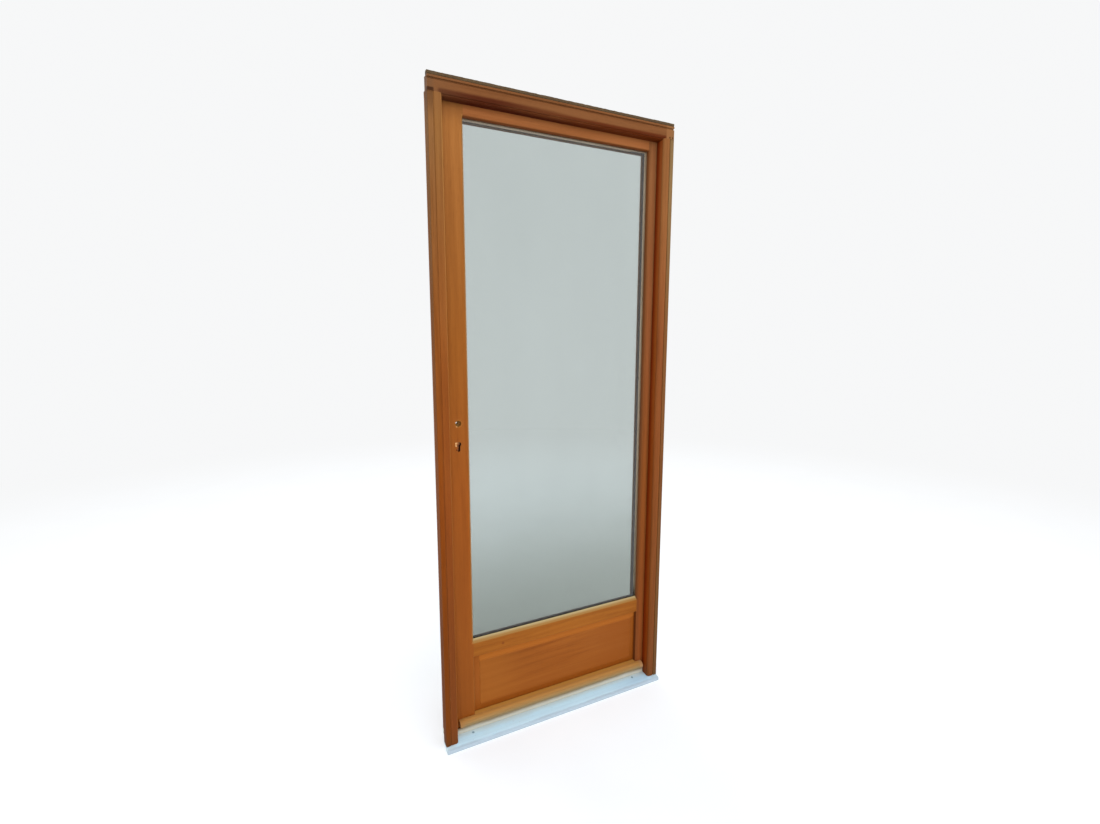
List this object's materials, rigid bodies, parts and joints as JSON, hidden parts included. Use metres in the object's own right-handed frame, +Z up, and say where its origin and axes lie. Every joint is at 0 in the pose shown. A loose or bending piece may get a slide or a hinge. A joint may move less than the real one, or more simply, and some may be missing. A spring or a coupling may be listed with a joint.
{
  "type": "french window",
  "caption": "Single-leaf wooden french window: glazed inward-opening leaf with a raised bottom panel and weather bar, in a wooden frame on a sloped metal threshold.",
  "frame": {"origin": "on the underside of the threshold at mid width, on the plane of the frame's outer face", "axes": "+X to the right seen from outside, +Y into the building, +Z up"},
  "size_m": [0.9, 0.127, 2.182],
  "materials": {
    "frame_wood": "satin orange-brown stained wood",
    "leaf_wood": "satin orange-brown stained wood",
    "panel_wood": "satin orange-brown stained wood, horizontal grain",
    "bar_wood": "weathered paler stained wood",
    "threshold_metal": "satin natural aluminium",
    "screw_metal": "plain steel",
    "glass": "clear double glazing",
    "spacer_metal": "dull aluminium",
    "seal": "matt dark rubber",
    "dark_foam": "matt dark foam strip",
    "hinge_metal": "dull plated steel",
    "lock_metal": "dull plated steel"
  },
  "bodies": {
    "frame": {"head_back": "frame_wood", "head_rail": "frame_wood", "head_seal_strip": "dark_foam", "hinge_frame_lower": "hinge_metal", "hinge_frame_middle": "hinge_metal", "hinge_frame_upper": "hinge_metal", "left_cover_strip": "frame_wood", "left_jamb": "frame_wood", "left_jamb_back": "frame_wood", "right_cover_strip": "frame_wood", "right_jamb": "frame_wood", "right_jamb_back": "frame_wood", "strike_plate": "lock_metal", "threshold": "threshold_metal", "threshold_screw_left": "screw_metal", "threshold_screw_right": "screw_metal"},
    "leaf": {"bead_bottom": "leaf_wood", "bead_left": "leaf_wood", "bead_right": "leaf_wood", "bead_top": "leaf_wood", "bottom_rail": "leaf_wood", "dead_bolt": "lock_metal", "glazing_seal": "seal", "hinge_leaf_lower": "hinge_metal", "hinge_leaf_middle": "hinge_metal", "hinge_leaf_upper": "hinge_metal", "hinge_stile": "leaf_wood", "inner_pane": "glass", "latch_bolt": "lock_metal", "lock_case": "lock_metal", "lock_faceplate": "lock_metal", "lock_follower": "lock_metal", "lock_stile": "leaf_wood", "middle_rail": "leaf_wood", "outer_pane": "glass", "raised_panel": "panel_wood", "spacer_bar": "spacer_metal", "top_rail": "leaf_wood", "weather_bar": "bar_wood"}
  },
  "joints": [
    {"name": "leaf_hinge", "type": "hinge", "parent": "frame", "child": "leaf", "pos_m": [0.415, 0.103, 0], "axis": [0, 0, -1], "range_deg": [0, 170]}
  ]
}
